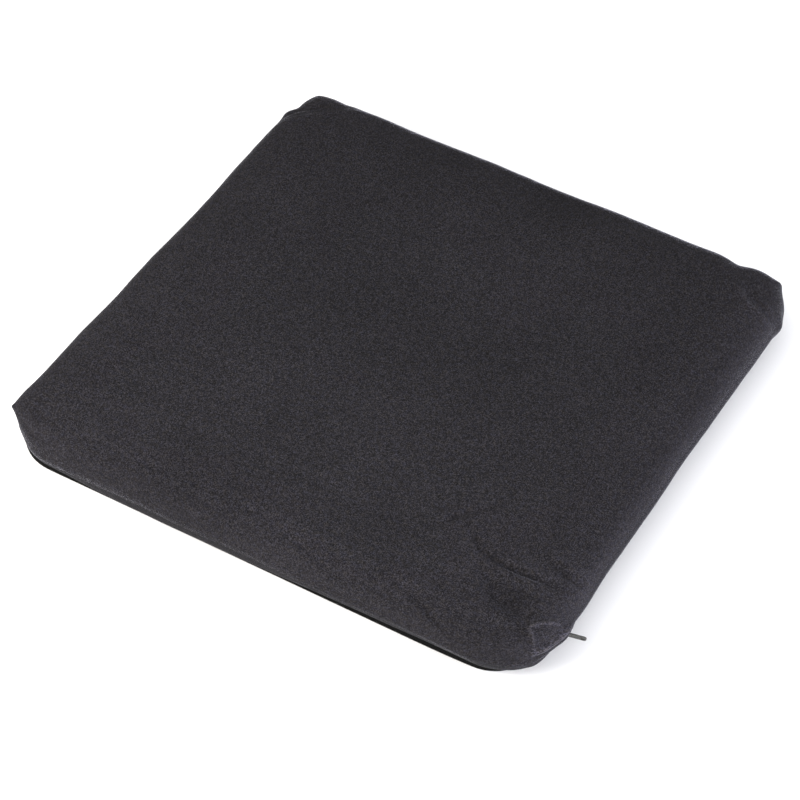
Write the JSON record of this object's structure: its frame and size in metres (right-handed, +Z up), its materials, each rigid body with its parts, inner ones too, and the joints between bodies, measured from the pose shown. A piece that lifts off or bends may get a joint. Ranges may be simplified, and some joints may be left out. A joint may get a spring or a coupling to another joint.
{
  "type": "kneeling pad",
  "caption": "Square foam kneeling pad with a zipped dark cloth cover, sewn rounded corners, a black base panel and a zip with a metal pull tab along one side.",
  "frame": {"origin": "centre of the base panel's flat face, on the floor", "axes": "+Z up, through the pad's thickness; the front side faces -Y; the side with the zip faces +X"},
  "size_m": [0.4622, 0.45, 0.04],
  "materials": {
    "foam": "open cell foam, matt",
    "cover_cloth": "brushed charcoal weave, matt",
    "base_cloth": "black non-slip cloth, matt",
    "zip_tape": "black woven tape",
    "zip_coil": "black nylon coil, satin",
    "stop_metal": "dull nickel",
    "slider_metal": "dull gunmetal",
    "tab_metal": "dull nickel with darker edges",
    "thread": "dark sewing thread"
  },
  "bodies": {
    "pad": {"foam_core": "foam", "top_cover": "cover_cloth", "base_panel": "base_cloth", "zip_tape_upper": "zip_tape", "zip_tape_lower": "zip_tape", "zip_coil_upper": "zip_coil", "zip_coil_lower": "zip_coil", "zip_top_stops": "stop_metal", "zip_bottom_stop": "stop_metal", "corner_thread": "thread", "hem_thread": "thread", "zip_thread_upper": "thread", "zip_thread_lower": "thread"},
    "slider": {"zip_slider": "slider_metal"},
    "pull_tab": {"zip_pull_tab": "tab_metal"}
  },
  "joints": [
    {"name": "zip_slide", "type": "slide", "parent": "pad", "child": "slider", "axis": [0, 1, 0], "range_m": [0, 0.3266]},
    {"name": "pull_tab_swing", "type": "hinge", "parent": "slider", "child": "pull_tab", "pos_m": [0.2205, -0.1635, 0.012], "axis": [0, 0, 1], "range_deg": [-84, 60]}
  ]
}
